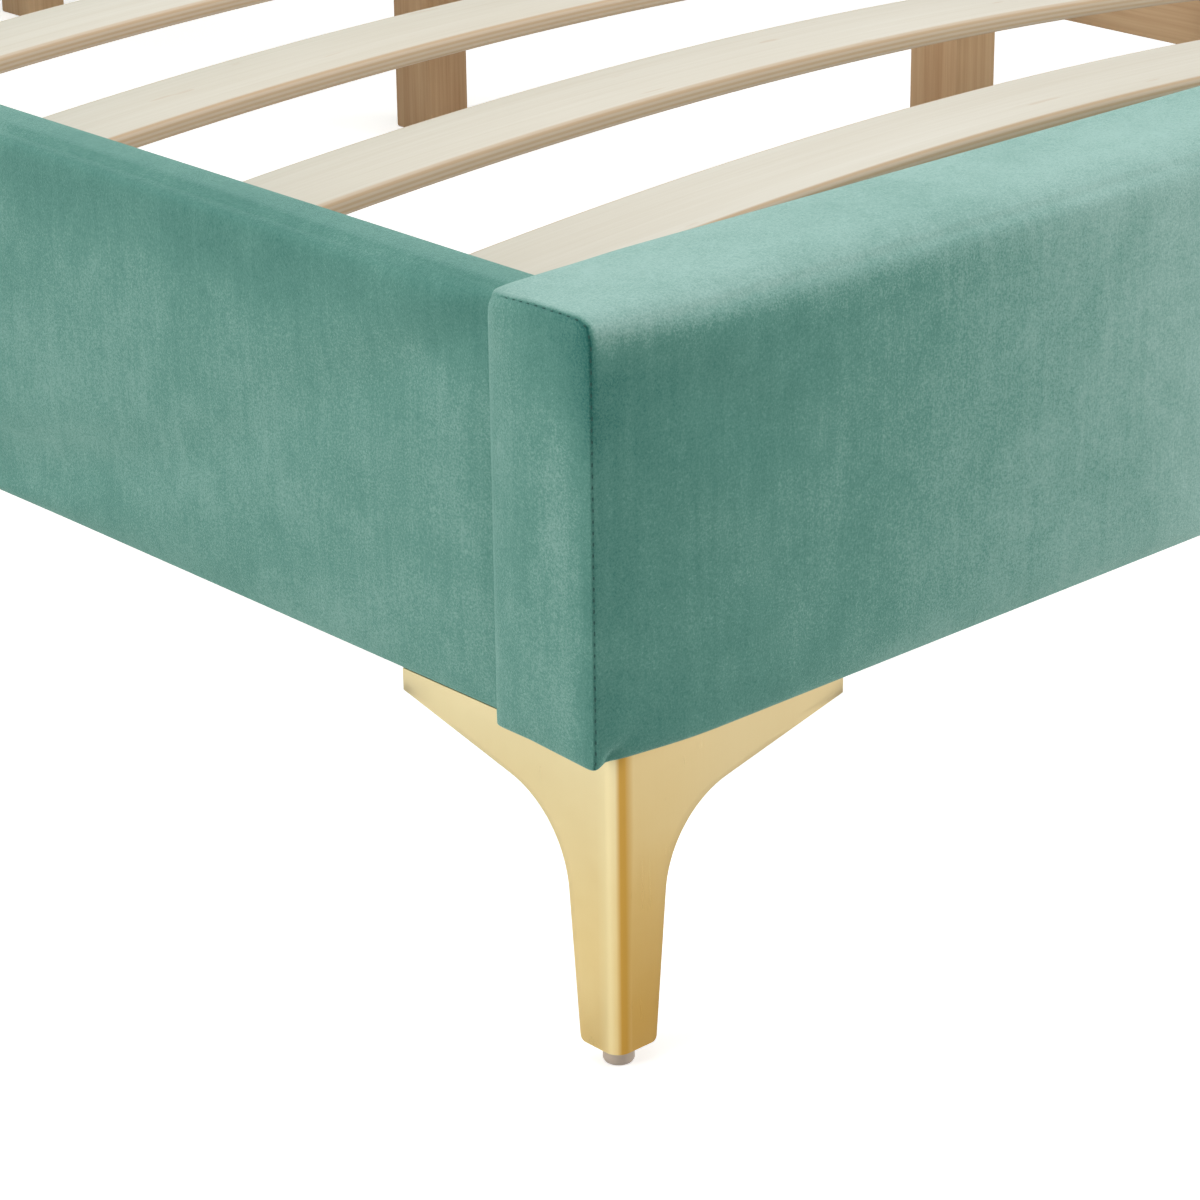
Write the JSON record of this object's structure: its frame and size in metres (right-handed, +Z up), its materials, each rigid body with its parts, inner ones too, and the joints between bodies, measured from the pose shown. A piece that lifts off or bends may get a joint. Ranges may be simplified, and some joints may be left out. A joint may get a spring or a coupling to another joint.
{
  "type": "upholstered bed frame",
  "caption": "Velvet-upholstered bed frame with a channelled headboard, low padded rails, arched slats on a centre beam and folded gold corner legs on levelling glides.",
  "frame": {"origin": "on the floor, under the middle of the bed's overall length and width", "axes": "+X across the bed to the right as seen from its foot, +Y from the footboard to the headboard, +Z up"},
  "size_m": [1.67, 2.1854, 1.1503],
  "materials": {
    "velvet": "short-pile velvet in a soft green, over foam",
    "birch": "pale birch plywood, thin matt lacquer",
    "pine": "planed softwood, unfinished",
    "brushed_gold": "folded steel sheet, satin gold plating",
    "black_steel": "black powder coat",
    "glide_plastic": "translucent grey-beige moulded plastic",
    "dust_cloth": "black non-woven dust cloth"
  },
  "bodies": {
    "root": {"beam_hanger_foot": "black_steel", "beam_hanger_head": "black_steel", "centre_beam": "pine", "centre_leg_1": "pine", "centre_leg_2": "pine", "centre_leg_3": "pine", "corner_bracket_foot_left": "black_steel", "corner_bracket_foot_right": "black_steel", "corner_bracket_head_left": "black_steel", "corner_bracket_head_right": "black_steel", "corner_leg_foot_left": "brushed_gold", "corner_leg_foot_right": "brushed_gold", "corner_leg_head_left": "brushed_gold", "corner_leg_head_right": "brushed_gold", "footboard_board": "pine", "footboard_upholstery": "velvet", "headboard_back_cloth": "dust_cloth", "headboard_bottom_rail": "pine", "headboard_middle_rail": "pine", "headboard_panel": "birch", "headboard_post_left": "pine", "headboard_post_right": "pine", "headboard_top_rail": "pine", "headboard_upholstery": "velvet", "side_rail_board_left": "pine", "side_rail_board_right": "pine", "side_rail_upholstery_left": "velvet", "side_rail_upholstery_right": "velvet", "slat_ledger_left": "pine", "slat_ledger_right": "pine", "slat_left_01": "birch", "slat_left_02": "birch", "slat_left_03": "birch", "slat_left_04": "birch", "slat_left_05": "birch", "slat_left_06": "birch", "slat_left_07": "birch", "slat_left_08": "birch", "slat_left_09": "birch", "slat_left_10": "birch", "slat_left_11": "birch", "slat_left_12": "birch", "slat_right_01": "birch", "slat_right_02": "birch", "slat_right_03": "birch", "slat_right_04": "birch", "slat_right_05": "birch", "slat_right_06": "birch", "slat_right_07": "birch", "slat_right_08": "birch", "slat_right_09": "birch", "slat_right_10": "birch", "slat_right_11": "birch", "slat_right_12": "birch"},
    "glide_foot_left": {"levelling_glide_foot_left": "glide_plastic"},
    "glide_foot_right": {"levelling_glide_foot_right": "glide_plastic"},
    "glide_head_left": {"levelling_glide_head_left": "glide_plastic"},
    "glide_head_right": {"levelling_glide_head_right": "glide_plastic"}
  },
  "joints": [
    {"name": "glide_foot_left_height", "type": "slide", "parent": "root", "child": "glide_foot_left", "axis": [0, 0, -1], "range_m": [0, 0.01]},
    {"name": "glide_foot_right_height", "type": "slide", "parent": "root", "child": "glide_foot_right", "axis": [0, 0, -1], "range_m": [0, 0.01]},
    {"name": "glide_head_left_height", "type": "slide", "parent": "root", "child": "glide_head_left", "axis": [0, 0, -1], "range_m": [0, 0.01]},
    {"name": "glide_head_right_height", "type": "slide", "parent": "root", "child": "glide_head_right", "axis": [0, 0, -1], "range_m": [0, 0.01]}
  ]
}
